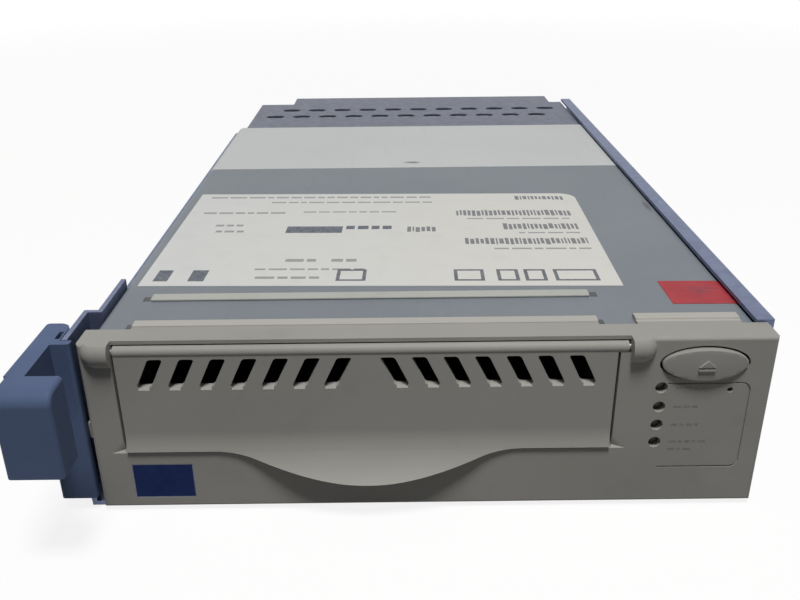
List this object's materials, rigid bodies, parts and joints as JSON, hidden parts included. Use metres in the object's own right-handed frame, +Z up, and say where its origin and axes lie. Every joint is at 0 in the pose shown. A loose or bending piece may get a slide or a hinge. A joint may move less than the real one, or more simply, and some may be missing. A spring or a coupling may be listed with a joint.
{
  "type": "tape drive",
  "caption": "Half-height data tape drive in a hot-plug carrier: bezel with vented flip-up door, eject key and lamps, metal-lidded body, blue release handle and rear plug hood.",
  "frame": {"origin": "underside of the carrier's tray, on the bezel's centreline, half way between the bezel's face and the rear end", "axes": "+Z up, -Y out of the bezel towards the user, +X to the right seen from the front"},
  "size_m": [0.1602, 0.2785, 0.0438],
  "materials": {
    "bezel_plastic": "fine moulded texture, satin",
    "badge_blue": "plain blue inlay",
    "black_plastic": "moulded black",
    "clear_plastic": "cloudy light pipe",
    "board": "green circuit board",
    "steel": "bright zinc plate",
    "zinc_sheet": "galvanised sheet with bluish passivation",
    "cover_metal": "satin grey cover sheet",
    "cover_white": "pale cover sheet",
    "cast_alloy": "machined casting",
    "handle_blue": "moulded blue, semi-gloss"
  },
  "bodies": {
    "carrier": {"adapter_board": "board", "adapter_bracket": "zinc_sheet", "badge_plate": "badge_blue", "base_chassis": "zinc_sheet", "blind_mate_plug": "black_plastic", "board_chips": "black_plastic", "board_screws": "steel", "board_standoffs": "steel", "data_socket": "black_plastic", "door_pin_left": "steel", "door_pin_right": "steel", "eject_switch": "black_plastic", "front_bezel": "bezel_plastic", "front_panel_board": "board", "guide_pin_left": "steel", "guide_pin_right": "steel", "head_base": "cast_alloy", "hub_stator": "cast_alloy", "light_pipes": "clear_plastic", "load_motor": "steel", "main_board": "board", "mechanism_deck": "cast_alloy", "power_socket": "black_plastic", "rear_cover": "cover_white", "rear_hood": "zinc_sheet", "rear_hood_roof": "zinc_sheet", "reset_switch": "black_plastic", "roller_posts": "steel", "side_screw_1": "steel", "side_screw_2": "steel", "side_screw_3": "steel", "side_screw_4": "steel", "sled_left_wall": "zinc_sheet", "sled_right_rail": "zinc_sheet", "sled_tray": "zinc_sheet", "status_leds": "clear_plastic", "takeup_motor": "cast_alloy", "top_cover": "cover_metal"},
    "door": {"tape_door": "bezel_plastic"},
    "eject_key": {"eject_button": "bezel_plastic", "eject_switch_plunger": "black_plastic"},
    "reset_key": {"reset_plunger": "black_plastic"},
    "loader": {"cartridge_tray": "zinc_sheet", "loader_rack": "black_plastic"},
    "hub": {"hub_rotor": "steel"},
    "reel": {"takeup_reel": "black_plastic"},
    "roller_1": {"guide_roller_1": "cast_alloy"},
    "roller_2": {"guide_roller_2": "cast_alloy"},
    "roller_3": {"guide_roller_3": "cast_alloy"},
    "roller_4": {"guide_roller_4": "cast_alloy"},
    "head": {"head_carriage": "cast_alloy", "tape_head": "steel"},
    "handle": {"release_handle": "handle_blue", "handle_pin": "steel"},
    "load_gear": {"load_pinion": "black_plastic"}
  },
  "joints": [
    {"name": "door_lift", "type": "hinge", "parent": "carrier", "child": "door", "pos_m": [-0.0132, -0.1276, 0.0407], "axis": [-1, 0, 0], "range_deg": [0, 88]},
    {"name": "eject_press", "type": "slide", "parent": "carrier", "child": "eject_key", "axis": [0, 1, 0], "range_m": [0, 0.0012], "stiffness_N_per_m": 1500},
    {"name": "reset_press", "type": "slide", "parent": "carrier", "child": "reset_key", "axis": [0, 1, 0], "range_m": [0, 0.0008], "stiffness_N_per_m": 1000},
    {"name": "tray_load", "type": "slide", "parent": "carrier", "child": "loader", "axis": [0, 1, 0], "range_m": [0, 0.008]},
    {"name": "hub_spin", "type": "hinge", "parent": "carrier", "child": "hub", "pos_m": [-0.0132, -0.063, 0.0164], "axis": [0, 0, 1], "continuous": true},
    {"name": "reel_spin", "type": "hinge", "parent": "carrier", "child": "reel", "pos_m": [-0.018, 0.028, 0.0164], "axis": [0, 0, 1], "continuous": true},
    {"name": "roller_1_spin", "type": "hinge", "parent": "carrier", "child": "roller_1", "pos_m": [0.03, 0.0005, 0.0164], "axis": [0, 0, 1], "continuous": true},
    {"name": "roller_2_spin", "type": "hinge", "parent": "carrier", "child": "roller_2", "pos_m": [0.05, -0.012, 0.0164], "axis": [0, 0, 1], "continuous": true},
    {"name": "roller_3_spin", "type": "hinge", "parent": "carrier", "child": "roller_3", "pos_m": [0.063, -0.006, 0.0164], "axis": [0, 0, 1], "continuous": true},
    {"name": "roller_4_spin", "type": "hinge", "parent": "carrier", "child": "roller_4", "pos_m": [0.034, 0.021, 0.0164], "axis": [0, 0, 1], "continuous": true},
    {"name": "head_step", "type": "slide", "parent": "carrier", "child": "head", "axis": [0, 0, 1], "range_m": [-0.0015, 0.0015]},
    {"name": "handle_swing", "type": "hinge", "parent": "carrier", "child": "handle", "pos_m": [-0.0807, -0.1215, 0], "axis": [0, 0, -1], "range_deg": [0, 30]},
    {"name": "load_gear_spin", "type": "hinge", "parent": "carrier", "child": "load_gear", "pos_m": [0.0501, -0.071, 0.0164], "axis": [0, 0, -1], "range_deg": [0, 72]}
  ],
  "couplings": [
    {"joint": "load_gear_spin", "follows": "tray_load", "rad_per_m": 156.25}
  ]
}
